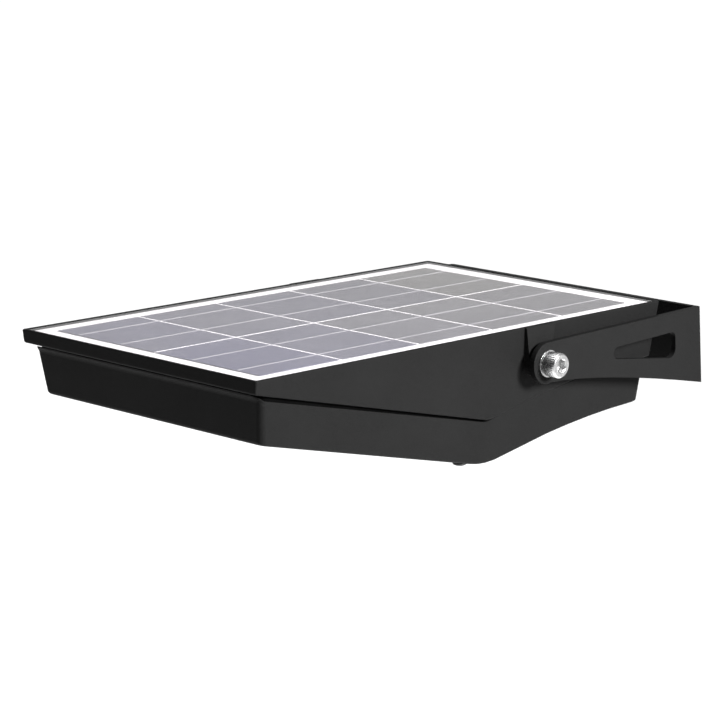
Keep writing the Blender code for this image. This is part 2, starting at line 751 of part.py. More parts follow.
def build_pivot(pivot, side, name, looks):
    """Cap screw, washer, friction disc and nut of one side, all on the pivot axis."""
    washer_x = ARM_OUTER_X + GAP / 2
    seat = washer_x + WASHER_THICK + GAP / 2
    face = seat + BOLT_HEAD_LENGTH
    profile = [
        (0.0, seat - BOLT_LENGTH),
        (BOLT_R - 0.6, seat - BOLT_LENGTH),
        (BOLT_R, seat - BOLT_LENGTH + 0.6),
        (BOLT_R, seat),
        (BOLT_HEAD_R, seat),
        (BOLT_HEAD_R, face - 0.8),
        (BOLT_HEAD_R - 0.8, face),
        (0.0, face),
    ]
    shape = turned(mirrored(profile, side), "X", (0.0, 0.0, 0.0))
    screw = add(f"pivot_bolt_{name}", shape, pivot, looks["steel"])
    hollow = prism(hexagon((0.0, 0.0), BOLT_SOCKET_FLATS), "X", side * (face - 4.0), side * (face + 2.0))
    cut(screw, f"socket_{name}", hollow, pivot)
    washer = disc(BOLT_R + GAP, WASHER_R, washer_x, washer_x + WASHER_THICK, side)
    add(f"flat_washer_{name}", washer, pivot, looks["steel"])
    friction = disc(BOLT_R + GAP, FRICTION_WASHER_R, PAD_X + GAP, ARM_INNER_X - GAP, side)
    add(f"friction_washer_{name}", friction, pivot, looks["nylon"])
    start = BOSS_INNER_X + GAP
    end = start + NUT_THICK
    shape = prism(hexagon((0.0, 0.0), NUT_FLATS), "X", side * start, side * end)
    nut = add(f"pivot_nut_{name}", shape, pivot, looks["steel"])
    bore = prism(circle((0.0, 0.0), BOLT_R + 0.15, 24), "X", side * (start - 4.0), side * (end + 4.0))
    cut(nut, f"nut_bore_{name}", bore, pivot)


def mirrored(profile, side):
    """A turned profile, flipped along its axis for the left side."""
    return [(radius, side * along) for radius, along in profile]


def disc(hole_radius, radius, start, end, side):
    profile = [(hole_radius, start), (radius, start), (radius, end), (hole_radius, end)]
    return turned(mirrored(profile, side), "X", (0.0, 0.0, 0.0), 28)


def arm_outline():
    """Side outline of the bracket: a round end, a curved lower edge and the web's full height."""
    end = (PIVOT_Y, PIVOT_Z)
    top_corner = (0.0, WEB_TOP_Z)
    start = (PIVOT_Y + 2.0, PIVOT_Z - ARM_END_R + 0.2)
    control = (PIVOT_Y + 41.0, PIVOT_Z - 14.9)
    finish = (0.0, WEB_BOTTOM_Z)
    outline = arc(end, ARM_END_R, 85.2, 281.0, 20)
    for step in range(1, 9):
        part = step / 8
        weights = ((1 - part) ** 2, 2 * part * (1 - part), part**2)
        places = list(zip(weights, (start, control, finish)))
        outline.append(tuple(sum(weight * place[axis] for weight, place in places) for axis in (0, 1)))
    outline.append(top_corner)
    return outline


def arm_window_outline():
    """The tapered hole in each arm, with rounded corners."""
    corners = (
        ((PIVOT_Y + 56.0, PIVOT_Z - 8.0), 3.2, 90.0, 257.0),
        ((PIVOT_Y + 100.6, PIVOT_Z - 16.8), 4.6, 257.0, 360.0),
        ((PIVOT_Y + 101.8, PIVOT_Z - 11.0), 3.5, 0.0, 94.0),
    )
    outline = []
    for centre, radius, start, end in corners:
        outline += arc(centre, radius, start, end, 6)
    return outline


def build_bracket(looks):
    """One folded sheet: a U in plan, trimmed to the arms' side outline."""
    half = ARM_OUTER_X
    outer = half - BEND_OUTER_R
    inner = half - SHEET - BEND_INNER_R
    plan = [(half - SHEET, PIVOT_Y - 20.0), (half, PIVOT_Y - 20.0)]
    plan += arc((outer, -BEND_OUTER_R), BEND_OUTER_R, 0.0, 90.0, 5)
    plan += arc((-outer, -BEND_OUTER_R), BEND_OUTER_R, 90.0, 180.0, 5)
    plan += [(-half, PIVOT_Y - 20.0), (-half + SHEET, PIVOT_Y - 20.0)]
    plan += arc((-inner, -SHEET - BEND_INNER_R), BEND_INNER_R, 180.0, 90.0, 3)
    plan += arc((inner, -SHEET - BEND_INNER_R), BEND_INNER_R, 90.0, 0.0, 3)
    sheet = prism(plan, "Z", WEB_BOTTOM_Z - 10.0, PIVOT_Z + 20.0)
    bracket = add("u_bracket", sheet, None, looks["black_paint"])
    reach = half + 5.0
    trim = cutter("bracket_outline", prism(arm_outline(), "X", -reach, reach), None)
    combine(bracket, trim, "INTERSECT")
    cut(bracket, "bracket_windows", prism(arm_window_outline(), "X", -reach, reach), None)
    pivot_hole = prism(circle((PIVOT_Y, PIVOT_Z), BOLT_R + GAP, 24), "X", -reach, reach)
    cut(bracket, "bracket_pivot", pivot_hole, None)
    for side in (1, -1):
        hole = prism(circle((side * WEB_HOLE_X, 0.0), WEB_HOLE_R, 20), "Y", -8.0, 5.0)
        cut(bracket, f"web_hole_{side}", hole, None)
        cut(bracket, f"web_slot_{side}", prism(slot_outline(side * WEB_SLOT_X), "Y", -8.0, 5.0), None)


def slot_outline(centre):
    right = arc((centre + WEB_SLOT_HALF, 0.0), WEB_HOLE_R, -90.0, 90.0, 8)
    return right + arc((centre - WEB_SLOT_HALF, 0.0), WEB_HOLE_R, 90.0, 270.0, 8)


# ---------------------------------------------------------------- lamp


def lamp_levels():
    """Lower face of each piece of the lamp's stack, from the window opening inwards."""
    levels = {}
    z = WALL + 0.1 + GAP
    stack = (("gasket", 0.7), ("pane", PANE_THICK), ("reflector", REFLECTOR_DEPTH), ("board", BOARD_THICK))
    for name, thickness in stack:
        levels[name] = z
        z += thickness + GAP
    levels["spreader"] = z
    return levels


def build_lamp(window, looks):
    """Gasket, pane, reflector, LED board and heat spreader, held by four screws."""
    levels = lamp_levels()
    hole = (OPENING_X + 2.0, OPENING_Y + 2.0)
    gasket = frame_plate((PANE_X, PANE_Y), hole, levels["gasket"], levels["gasket"] + 0.7)
    add("window_gasket", gasket, window, looks["rubber"])
    outline = rounded_rectangle((-PANE_X / 2, -PANE_Y / 2), (PANE_X / 2, PANE_Y / 2), 4.0)
    pane_mesh = prism(outline, "Z", levels["pane"], levels["pane"] + PANE_THICK)
    bevel(add("lamp_window", pane_mesh, window, looks["glass"]), 0.4)
    build_reflector(window, looks, levels["reflector"])
    build_led_board(window, looks, levels["board"])
    spreader = build_heat_spreader(window, looks, levels["spreader"])
    seat = levels["spreader"] + SPREADER_THICK + GAP
    small_screws("lamp_screw", window, four(LAMP_POST_X, LAMP_POST_Y), spreader, seat, looks)


def small_screws(name, parent, places, plate, seat, looks):
    """One screw through the plate into each post; the plate gets a clearance hole for it."""
    for number, (x, y) in enumerate(places, 1):
        hole = prism(circle((x, y), SMALL_SCREW_R + GAP, 12), "Z", seat - 6.0, seat + 4.0)
        cut(plate, f"{name}_{number}", hole, parent)
        size = (SMALL_SCREW_R, SMALL_HEAD_R, SMALL_HEAD_HEIGHT)
        tip = seat - SMALL_SCREW_LENGTH
        screw(f"{name}_{number}", parent, (x, y), looks["steel"], seat, tip, *size)


def build_reflector(window, looks, low_z):
    """A white frame whose walls lean in towards the LED board."""
    made = bmesh.new()
    high_z = low_z + REFLECTOR_DEPTH
    sizes = (
        (PANE_X, PANE_Y, low_z),
        (PANE_X - 8.0, PANE_Y - 8.0, high_z),
        (PANE_X - 22.0, PANE_Y - 30.0, high_z),
        (PANE_X - 11.0, PANE_Y - 11.0, low_z),
    )
    loops = []
    for x, y, z in sizes:
        outline = rounded_rectangle((-x / 2, -y / 2), (x / 2, y / 2), 4.0)
        loops.append([made.verts.new((px, py, z)) for px, py in outline])
    for index, loop in enumerate(loops):
        join_rings(made, loops[index - 1], loop)
    add("reflector", made, window, looks["white_plastic"])


def build_led_board(window, looks, low_z):
    """The aluminium board, with its LED packages standing down into the reflector."""
    sheet = box((-56.0, -46.0, low_z), (56.0, 46.0, low_z + BOARD_THICK))
    board = add("led_board", sheet, window, looks["white_plastic"])
    for column in range(LED_COLUMNS):
        for row in range(LED_ROWS):
            x = (column - (LED_COLUMNS - 1) / 2) * LED_PITCH
            y = (row - (LED_ROWS - 1) / 2) * LED_PITCH
            low = (x - LED_SIZE / 2, y - LED_SIZE / 2, low_z - LED_HEIGHT)
            high = (x + LED_SIZE / 2, y + LED_SIZE / 2, low_z + 0.4)
            join(board, f"led_{column}_{row}", box(low, high), window)


def build_heat_spreader(window, looks, low_z):
    """A plate with fins that carries the LED board's heat into the housing."""
    fin_span = 110.0
    half = LAMP_POST_X + 3.6
    top = low_z + SPREADER_THICK
    outline = [(-half, low_z), (half, low_z), (half, top)]
    for index in reversed(range(FIN_COUNT)):
        x = fin_span * (index / (FIN_COUNT - 1) - 0.5)
        tip = top + FIN_HEIGHT
        outline += [(x + 1.0, top), (x + 0.8, tip), (x - 0.8, tip), (x - 1.0, top)]
    outline.append((-half, top))
    return add("heat_spreader", prism(outline, "Y", -46.0, 46.0), window, looks["aluminium"])


# ---------------------------------------------------------------- battery, board and button


def build_battery(head, looks):
    """Three cells side by side in an open tray, held down by a strap."""
    floor_z = BATTERY_Z - BATTERY_R - GAP
    half_x = BATTERY_LENGTH / 2 + 4.0
    low_y = BATTERY_Y - BATTERY_PITCH * 1.5 - 2.4
    high_y = BATTERY_Y + BATTERY_PITCH * 1.5 + 2.4
    outer = box((-half_x, low_y, floor_z - 1.8), (half_x, high_y, BATTERY_Z))
    tray = add("battery_tray", outer, head, looks["nylon"])
    wall = 2.0
    hollow = box((wall - half_x, low_y + wall, floor_z), (half_x - wall, high_y - wall, BATTERY_Z + 10.0))
    cut(tray, "tray", hollow, head)
    for index in range(3):
        centre = (0.0, BATTERY_Y + (index - 1) * BATTERY_PITCH, BATTERY_Z)
        cell = turned(battery_profile(), "X", centre, 20)
        add(f"battery_cell_{index + 1}", cell, head, looks["battery_wrap"])
    add("battery_strap", battery_strap(low_y, high_y), head, looks["aluminium"])


def battery_profile():
    """Half section of one cell, with its raised terminal."""
    half = BATTERY_LENGTH / 2
    return [
        (0.0, -half),
        (BATTERY_R - 0.5, -half),
        (BATTERY_R, -half + 0.5),
        (BATTERY_R, half - 1.0),
        (BATTERY_R - 1.0, half),
        (3.0, half),
        (3.0, half + 1.0),
        (0.0, half + 1.0),
    ]


def battery_strap(low_y, high_y):
    """A bent strip over the cells, down both sides of the tray."""
    thick, clear, half_width = 1.5, 2.0, 8.0
    foot = BATTERY_Z - 8.0
    under = BATTERY_Z + BATTERY_R + GAP
    top = under + thick
    inner_low, inner_high = low_y - clear, high_y + clear
    outer_low, outer_high = inner_low - thick, inner_high + thick
    outline = [(outer_low, foot), (outer_low, top), (outer_high, top), (outer_high, foot)]
    outline += [(inner_high, foot), (inner_high, under), (inner_low, under), (inner_low, foot)]
    return prism(outline, "X", -half_width, half_width)


def build_controls(service, looks):
    """Control board on its posts, with the push button's switch on its outer side."""
    half_x, half_y = CONTROL_BOARD_X / 2, CONTROL_BOARD_Y / 2
    sheet = box((-half_x, -half_y, BOARD_LOW), (half_x, half_y, BOARD_LOW + BOARD_THICK))
    board = add("control_board", sheet, service, looks["board"])
    top = BOARD_LOW + BOARD_THICK + GAP
    small_screws("board_screw", service, four(BOARD_POST_X, BOARD_POST_Y), board, top, looks)
    add("driver_coil", can((-20.0, 4.0), top, 7.0, 9.0), service, looks["nylon"])
    add("driver_capacitor", can((2.0, 8.0), top, 4.0, 11.5), service, looks["nylon"])
    build_button(service, looks)


def can(place, low_z, radius, height):
    """A round component that stands on the board."""
    edge = 0.5
    profile = [
        (0.0, low_z),
        (radius, low_z),
        (radius, low_z + height - edge),
        (radius - edge, low_z + height),
        (0.0, low_z + height),
    ]
    return turned(profile, "Z", (*place, 0.0), 18)


def build_button(service, looks):
    """The rubber cap, the stem it pushes, the switch, and the light pipe beside them."""
    switch_top = BOARD_LOW - GAP
    low = (BUTTON_X - SWITCH_HALF, -SWITCH_HALF, SWITCH_LOW)
    switch = box(low, (BUTTON_X + SWITCH_HALF, SWITCH_HALF, switch_top))
    switch_object = add("switch_body", switch, service, looks["nylon"])
    bore = prism(circle((BUTTON_X, 0.0), STEM_R + GAP, 16), "Z", 5.0, switch_top - 0.8)
    cut(switch_object, "switch_bore", bore, service)
    stem = prism(circle((BUTTON_X, 0.0), STEM_R, 16), "Z", WALL + 1.9, 8.6)
    add("switch_stem", stem, service, looks["white_plastic"])
    profile = [
        (0.0, -BUTTON_PROUD),
        (BUTTON_R - 1.2, -BUTTON_PROUD),
        (BUTTON_R, -BUTTON_PROUD + 0.9),
        (BUTTON_R, WALL + 0.4),
        (BUTTON_R + 1.6, WALL + 0.4),
        (BUTTON_R + 1.6, WALL + 1.6),
        (0.0, WALL + 1.6),
    ]
    add("power_button", turned(profile, "Z", (BUTTON_X, 0.0, 0.0), 28), service, looks["rubber"])
    collar = STATUS_R + 1.2
    profile = [(0.0, 0.2), (STATUS_R, 0.2), (STATUS_R, 3.0), (collar, 3.0), (collar, 4.2)]
    profile += [(STATUS_R, 4.2), (STATUS_R, 10.6), (0.0, 10.6)]
    pipe = turned(profile, "Z", (STATUS_X, 0.0, 0.0), 16)
    add("status_light_pipe", pipe, service, looks["glass"])


def lead(name, points, head, looks, radius=1.3):
    """A held twin lead along hand-placed points, smoothed into one curve."""
    curve = bpy.data.curves.new(name, "CURVE")
    curve.dimensions = "3D"
    curve.bevel_depth = radius * MM
    curve.bevel_resolution = 2
    curve.use_fill_caps = True
    smooth = smooth_route([Vector(point) for point in points], 5)
    spline = curve.splines.new("POLY")
    spline.points.add(len(smooth) - 1)
    for target, place in zip(spline.points, smooth):
        target.co = (*(place * MM), 1.0)
    curve.materials.append(looks["cable"])
    obj = bpy.data.objects.new(name, curve)
    bpy.context.scene.collection.objects.link(obj)
    obj.parent = head


def smooth_route(points, steps):
    """Catmull-Rom points through a route."""
    padded = [2 * points[0] - points[1]] + points + [2 * points[-1] - points[-2]]
    route = []
    for index in range(1, len(padded) - 2):
        before, start, end, after = padded[index - 1 : index + 3]
        for step in range(steps):
            t = step / steps
            linear = (end - before) * t
            square = (2 * before - 5 * start + 4 * end - after) * t * t
            cube = (3 * start - before - 3 * end + after) * t**3
            route.append(0.5 * (2 * start + linear + square + cube))
    route.append(points[-1])
    return route


def build_leads(head, looks):
    """The three held leads: panel, battery and lamp, each to the control board's top."""
    panel = [(12.0, 24.0, 5.3), (12.0, 24.0, -2.0), (14.0, 30.0, -10.0)]
    panel += [(14.0, 41.0, -17.0), (14.0, 45.0, -26.0)]
    battery = [(34.2, 4.0, -26.0), (34.0, 14.0, -22.0), (33.0, 26.0, -20.0)]
    battery += [(32.0, 32.0, -23.0), (32.0, 33.0, -27.6)]
    lamp = [(-46.0, -66.0, -17.0), (-46.0, -58.0, -12.0), (-46.0, -30.0, -10.0)]
    lamp += [(-44.0, 10.0, -12.0), (-40.0, 32.0, -18.0), (-40.0, 36.0, -27.2)]
    lead("panel_lead", panel, head, looks)
    lead("battery_lead", battery, head, looks)
    lead("lamp_lead", lamp, head, looks)


# ---------------------------------------------------------------- assembly


def main():
    clear_scene()
    looks = make_materials()
    pivot = frame("head_pivot", None, (0.0, PIVOT_Y, PIVOT_Z), HEAD_TILT)
    head = frame("head_frame", pivot, (0.0, HEAD_SHIFT_Y, HEAD_SHIFT_Z))
    window = frame("window_frame", head, (0.0, WINDOW_Y, underside_z(WINDOW_Y)), -atan(FRONT_SLOPE))
    service_slope = (underside_z(SERVICE_Y + 1.0) - underside_z(SERVICE_Y - 1.0)) / 2
    service = frame("service_frame", head, (0.0, SERVICE_Y, underside_z(SERVICE_Y)), atan(service_slope))
    build_bracket(looks)
    build_upper_housing(head, pivot, looks)
    build_lower_housing(head, window, service, looks)
    build_housing_gasket(head, looks)
    build_closing_screws(head, looks)
    build_panel(head, looks)
    for side, name in ((1, "right"), (-1, "left")):
        build_pivot(pivot, side, name, looks)
    build_lamp(window, looks)
    build_battery(head, looks)
    build_controls(service, looks)
    build_leads(head, looks)
    bpy.context.view_layer.update()


main()
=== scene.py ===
"""The looks of the solar flood light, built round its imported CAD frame."""

import json
from math import atan, cos, pi, radians, sin

import bmesh
import bpy
from mathutils import Euler, Matrix, Vector


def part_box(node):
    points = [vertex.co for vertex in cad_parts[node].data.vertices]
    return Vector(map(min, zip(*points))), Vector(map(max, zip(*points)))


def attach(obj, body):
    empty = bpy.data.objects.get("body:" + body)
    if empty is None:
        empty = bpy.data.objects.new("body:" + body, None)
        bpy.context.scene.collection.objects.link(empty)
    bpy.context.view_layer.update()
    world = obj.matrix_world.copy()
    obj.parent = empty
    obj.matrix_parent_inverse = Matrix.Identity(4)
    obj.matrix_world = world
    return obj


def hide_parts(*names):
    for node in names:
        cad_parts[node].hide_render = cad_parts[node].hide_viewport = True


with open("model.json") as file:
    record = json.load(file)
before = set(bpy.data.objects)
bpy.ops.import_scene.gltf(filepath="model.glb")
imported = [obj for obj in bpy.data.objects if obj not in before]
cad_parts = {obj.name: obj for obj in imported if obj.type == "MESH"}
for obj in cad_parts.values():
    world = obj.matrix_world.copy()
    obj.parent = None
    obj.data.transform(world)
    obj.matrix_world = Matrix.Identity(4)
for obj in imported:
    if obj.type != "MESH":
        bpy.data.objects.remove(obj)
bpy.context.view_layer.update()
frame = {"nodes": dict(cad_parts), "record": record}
MM = 0.001

# ---------------------------------------------------------------- frames of the CAD model (places in metres)

PIVOT = Vector((0.0, -128.2, 20.7)) * MM
HEAD_TILT = radians(-5.5)
HEAD_SHIFT = Vector((0.0, 0.95, 0.59)) * MM
HEAD = Matrix.Translation(PIVOT) @ Matrix.Rotation(HEAD_TILT, 4, "X") @ Matrix.Translation(HEAD_SHIFT)
WINDOW_ORIGIN = Vector((0.0, -112.0, -33.07)) * MM
WINDOW_SLOPE = 0.234
WINDOW = HEAD @ Matrix.Translation(WINDOW_ORIGIN) @ Matrix.Rotation(-atan(WINDOW_SLOPE), 4, "X")
SERVICE_ORIGIN = Vector((0.0, 45.0, -40.64)) * MM
SERVICE_SLOPE = 0.1091
SERVICE = HEAD @ Matrix.Translation(SERVICE_ORIGIN) @ Matrix.Rotation(atan(SERVICE_SLOPE), 4, "X")

# ---------------------------------------------------------------- sizes of the pieces (millimetres)

CELL_TOP = 17.55
CELL_AREA_WIDTH = 144.5
CELL_AREA_LENGTH = 270.4
CELL_AREA_Y = -51.8
CELL_ROWS = 5
CELL_SPACING = 1.0
RIBBON_XS = (-56.65, -25.45, 25.45, 56.65)
RIBBON_WIDTH = 0.85
RIBBON_END_GAP = 0.6
FINGER_PITCH = 1.7
FINGER_SHARE = 0.075
LED_COLUMNS = 6
LED_ROWS = 4
LED_PITCH = 16.0
LED_FACE = 15.3
BUTTON_X = 22.0
CLOSING_SCREWS = 6
CAP_HEAD_LENGTH = 8.0
CAP_HEAD_RADIUS = 6.5
KNURL_DEPTH = 0.16
KNURL_TEETH = 40
SHANK_RADIUS = 3.95
COLLAR_RADIUS = 6.42
SOCKET_ACROSS_FLATS = 6.1
SOCKET_DEPTH = 3.8

# ---------------------------------------------------------------- the studio (metres)

CAMERA_PLACE = (0.95918, -1.14104, 0.40495)
CAMERA_TURN = Euler((1.2932923, 0.0536777, 0.7639982), "XYZ")
CAMERA_LENS_MM = 135.372
FLOOR_Z = -0.42
FLOOR_HALF_SIDE = 14.0
SOFTBOX_PLACE = (1.6, 0.1, 0.62)
SOFTBOX_TARGET = (0.0, -0.17, 0.0)
SOFTBOX_SIDE = 0.5
SOFTBOX_WATTS = 21.0
SOFTBOX_SPREAD = radians(55.0)
SUN_STRENGTH = 2.5
SUN_ANGLE = radians(50.0)
BRIGHT_SIDE = Vector((-0.62, 0.74, 0.26)).normalized()
WORLD_STRENGTH = 0.58


# ---------------------------------------------------------------- node helpers


class Look:
    """A material with short calls for its nodes; the texture coordinates are the object's own, in metres."""

    def __init__(self, name):
        self.material = bpy.data.materials.new(name)
        self.material.use_nodes = True
        self.tree = self.material.node_tree
        self.tree.nodes.clear()
        self.output = self.tree.nodes.new("ShaderNodeOutputMaterial")
        self.place = self.tree.nodes.new("ShaderNodeTexCoord").outputs["Object"]

    def feed(self, made, key, value):
        """Links an input to another node's output, or sets it to a plain value."""
        if isinstance(value, bpy.types.NodeSocket):
            self.tree.links.new(value, made.inputs[key])
        else:
            made.inputs[key].default_value = value

    def node(self, kind, inputs=None, **settings):
        made = self.tree.nodes.new(kind)
        for key, value in settings.items():
            setattr(made, key, value)
        for key, value in (inputs or {}).items():
            self.feed(made, key, value)
        return made

    def noise(self, scale, detail=2.0, roughness=0.5, place=None):
        inputs = {"Vector": place or self.place, "Scale": scale, "Detail": detail, "Roughness": roughness}
        return self.node("ShaderNodeTexNoise", inputs).outputs["Fac"]

    def spread(self, value, low, high, from_low=0.3, from_high=0.7):
        """Maps the middle of a noise to the range from low to high."""
        inputs = {"Value": value, "From Min": from_low, "From Max": from_high, "To Min": low, "To Max": high}
        return self.node("ShaderNodeMapRange", inputs).outputs["Result"]

    def mix(self, share, first, second):
        """Mixes two colours; 0, 6 and 7 are the node's share and its two colours."""
        made = self.node("ShaderNodeMix", {0: share, 6: first, 7: second}, data_type="RGBA")
        return made.outputs[2]

    def math(self, operation, first, second=0.0):
        return self.node("ShaderNodeMath", {0: first, 1: second}, operation=operation).outputs[0]

    def stretched(self, x, y, z):
        return self.node("ShaderNodeMapping", {"Vector": self.place, "Scale": (x, y, z)}).outputs["Vector"]

    def bump(self, height, strength, distance, normal=None):
        inputs = {"Height": height, "Strength": strength, "Distance": distance}
        if normal is not None:
            inputs["Normal"] = normal
        return self.node("ShaderNodeBump", inputs).outputs["Normal"]

    def rounded_edges(self, radius):
        return self.node("ShaderNodeBevel", {"Radius": radius}, samples=4).outputs["Normal"]

    def principled(self, **inputs):
        named = {key.replace("_", " "): value for key, value in inputs.items()}
        return self.node("ShaderNodeBsdfPrincipled", named).outputs["BSDF"]

    def finish(self, surface):
        self.tree.links.new(surface, self.output.inputs["Surface"])
        return self.material


def grey(value, blue=1.0):
    """A grey, with its blue scaled to cool or warm it."""
    return (value, value, value * blue, 1.0)


# ---------------------------------------------------------------- materials


def powder_coat():
    """Matt black powder coat: a fine pebbled skin, with a slightly uneven sheen."""
    look = Look("powder_coat")
    pebble = look.noise(2600.0, 3.0, 0.6)
    swell = look.noise(650.0, 2.0)
    cloud = look.noise(28.0, 4.0, 0.65)
    colour = look.mix(look.spread(pebble, 0.0, 1.0), grey(0.0015), grey(0.006))
    colour = look.mix(look.spread(cloud, 0.0, 0.45), colour, grey(0.005))
    roughness = look.math("ADD", look.spread(cloud, 0.5, 0.58), look.spread(pebble, -0.05, 0.07))
    height = look.math("ADD", pebble, look.math("MULTIPLY", swell, 1.4))
    normal = look.bump(height, 0.3, 0.00009, look.rounded_edges(0.00045))
    return look.finish(
        look.principled(
            Base_Color=colour,
            Roughness=roughness,
            Specular_IOR_Level=0.035,
            Normal=normal,
        )
    )


def moulded(name, dark, light, rough_low, rough_high, grain=1500.0, specular=0.5):
    """Plain moulded plastic or rubber with a fine eroded grain."""
    look = Look(name)
    fine = look.noise(grain, 2.0)
    broad = look.noise(60.0, 3.0)
    colour = look.mix(look.spread(broad, 0.0, 1.0), dark, light)
    roughness = look.spread(fine, rough_low, rough_high)
    normal = look.bump(fine, 0.2, 0.00005, look.rounded_edges(0.0002))
    return look.finish(
        look.principled(Base_Color=colour, Roughness=roughness, Specular_IOR_Level=specular, Normal=normal)
    )


def plated_steel():
    """Bright zinc plating: faint tool marks, and small dull spots."""
    look = Look("plated_steel")
    spots = look.noise(900.0, 3.0, 0.6)
    marks = look.noise(1.0, 2.0, 0.5, look.stretched(2600.0, 260.0, 260.0))
    colour = look.mix(look.spread(spots, 0.0, 1.0), grey(0.42, 1.02), grey(0.56, 0.99))
    roughness = look.math("ADD", look.spread(spots, 0.2, 0.28), look.spread(marks, -0.03, 0.05))
    normal = look.bump(marks, 0.12, 0.00003, look.rounded_edges(0.00015))
    return look.finish(look.principled(Base_Color=colour, Roughness=roughness, Metallic=1.0, Normal=normal))


def blackened_steel():
    """Black oxide on the closing screws, worn a little brighter in places."""
    look = Look("blackened_steel")
    wear = look.noise(700.0, 4.0, 0.6)
    colour = look.mix(look.spread(wear, 0.0, 1.0, 0.45, 0.75), grey(0.018), grey(0.06))
    roughness = look.spread(wear, 0.5, 0.36)
    normal = look.bump(wear, 0.15, 0.00003, look.rounded_edges(0.0002))
    return look.finish(look.principled(Base_Color=colour, Roughness=roughness, Metallic=0.7, Normal=normal))


def drawn_aluminium():
    """Mill-finish aluminium with fine lines along the extrusion."""
    look = Look("drawn_aluminium")
    lines = look.noise(1.0, 3.0, 0.6, look.stretched(3200.0, 45.0, 3200.0))
    cloud = look.noise(90.0, 3.0)
    colour = look.mix(look.spread(cloud, 0.0, 1.0), grey(0.62), grey(0.76))
    roughness = look.spread(lines, 0.28, 0.42)
    normal = look.bump(lines, 0.15, 0.00003)
    return look.finish(look.principled(Base_Color=colour, Roughness=roughness, Metallic=1.0, Normal=normal))


def white_film(name, low, high):
    """White film with a faint woven print-through."""
    look = Look(name)
    weave = look.noise(1.0, 1.0, 0.5, look.stretched(900.0, 900.0, 900.0))
    cloud = look.noise(14.0, 3.0)
    colour = look.mix(look.spread(cloud, 0.0, 1.0), grey(low, 0.985), grey(high, 0.985))
    roughness = look.spread(weave, 0.42, 0.55)
    normal = look.bump(weave, 0.1, 0.00004)
    return look.finish(
        look.principled(Base_Color=colour, Roughness=roughness, Specular_IOR_Level=0.12, Normal=normal)
    )


def solar_silicon(number):
    """A cell: blue-black silicon, its crystals' faint tints, and printed silver fingers across it."""
    look = Look(f"solar_silicon_{number:02d}")
    row = (number - 1) // 2
    tint = 0.02 * sin(number * 2.4)
    # the blue steps down evenly from one row of cells to the next across the panel
    blue = 0.16 - 0.019 * row
    deep = (0.034 + tint * 0.3, 0.034 + tint * 0.3, blue * 0.4, 1.0)
    pale = (0.05 + tint * 0.3, 0.05 + tint * 0.3, blue * 0.56, 1.0)
    crystal_cells = look.node("ShaderNodeTexVoronoi", {"Vector": look.place, "Scale": 170.0})
    crystal = look.node("ShaderNodeSeparateColor", {"Color": crystal_cells.outputs["Color"]}).outputs["Red"]
    cloud = look.noise(40.0, 4.0, 0.6)
    silicon = look.mix(look.math("MULTIPLY", look.math("ADD", crystal, cloud), 0.5), deep, pale)
    y = look.node("ShaderNodeSeparateXYZ", {"Vector": look.place}).outputs["Y"]
    along = look.math("FRACT", look.math("MULTIPLY", y, 1.0 / (FINGER_PITCH * MM)))
    finger = look.math("LESS_THAN", along, FINGER_SHARE)
    colour = look.mix(finger, silicon, grey(0.55))
    roughness = look.spread(cloud, 0.3, 0.42)
    normal = look.bump(crystal, 0.05, 0.00003)
    return look.finish(
        look.principled(Base_Color=colour, Roughness=roughness, Specular_IOR_Level=0.12, Normal=normal)
    )


def tinned_ribbon():
    """Solder-coated copper ribbon over the cells."""
    look = Look("tinned_ribbon")
    ripple = look.noise(1.0, 2.0, 0.5, look.stretched(900.0, 160.0, 900.0))
    colour = look.mix(look.spread(ripple, 0.0, 1.0), grey(0.27, 1.04), grey(0.34, 1.04))
    roughness = look.spread(ripple, 0.34, 0.5)
    normal = look.bump(ripple, 0.15, 0.00004)
    return look.finish(look.principled(Base_Color=colour, Roughness=roughness, Metallic=0.25, Normal=normal))


def clear_pane(name, roughness, pebble_scale, pebble_strength, tint):
    """A thin pane: clear, with a Fresnel gloss on the side that faces out."""
    look = Look(name)
    pebble = look.noise(pebble_scale, 2.0)
    smear = look.noise(22.0, 4.0, 0.6)
    normal = look.bump(pebble, pebble_strength, 0.00005)
    rough = look.spread(smear, roughness * 0.85, roughness * 1.25)
    gloss = look.node("ShaderNodeBsdfGlossy", {"Color": grey(0.97), "Roughness": rough, "Normal": normal})
    clear = look.node("ShaderNodeBsdfTransparent", {"Color": tint})
    facing = look.node("ShaderNodeFresnel", {"IOR": 1.5}).outputs["Fac"]
    inside = look.node("ShaderNodeNewGeometry").outputs["Backfacing"]
    share = look.math("MULTIPLY", facing, look.math("SUBTRACT", 1.0, inside))
    mixed = look.node("ShaderNodeMixShader", {0: share, 1: clear.outputs[0], 2: gloss.outputs[0]})
    return look.finish(mixed.outputs[0])


def led_phosphor():
    """The yellow phosphor of an unlit white LED."""
    look = Look("led_phosphor")
    grain = look.noise(4000.0, 2.0)
    colour = look.mix(look.spread(grain, 0.0, 1.0), (0.78, 0.52, 0.06, 1.0), (0.9, 0.68, 0.13, 1.0))
    roughness = look.spread(grain, 0.28, 0.42)
    return look.finish(
        look.principled(Base_Color=colour, Roughness=roughness, Subsurface_Weight=0.1, Coat_Weight=0.4)
    )


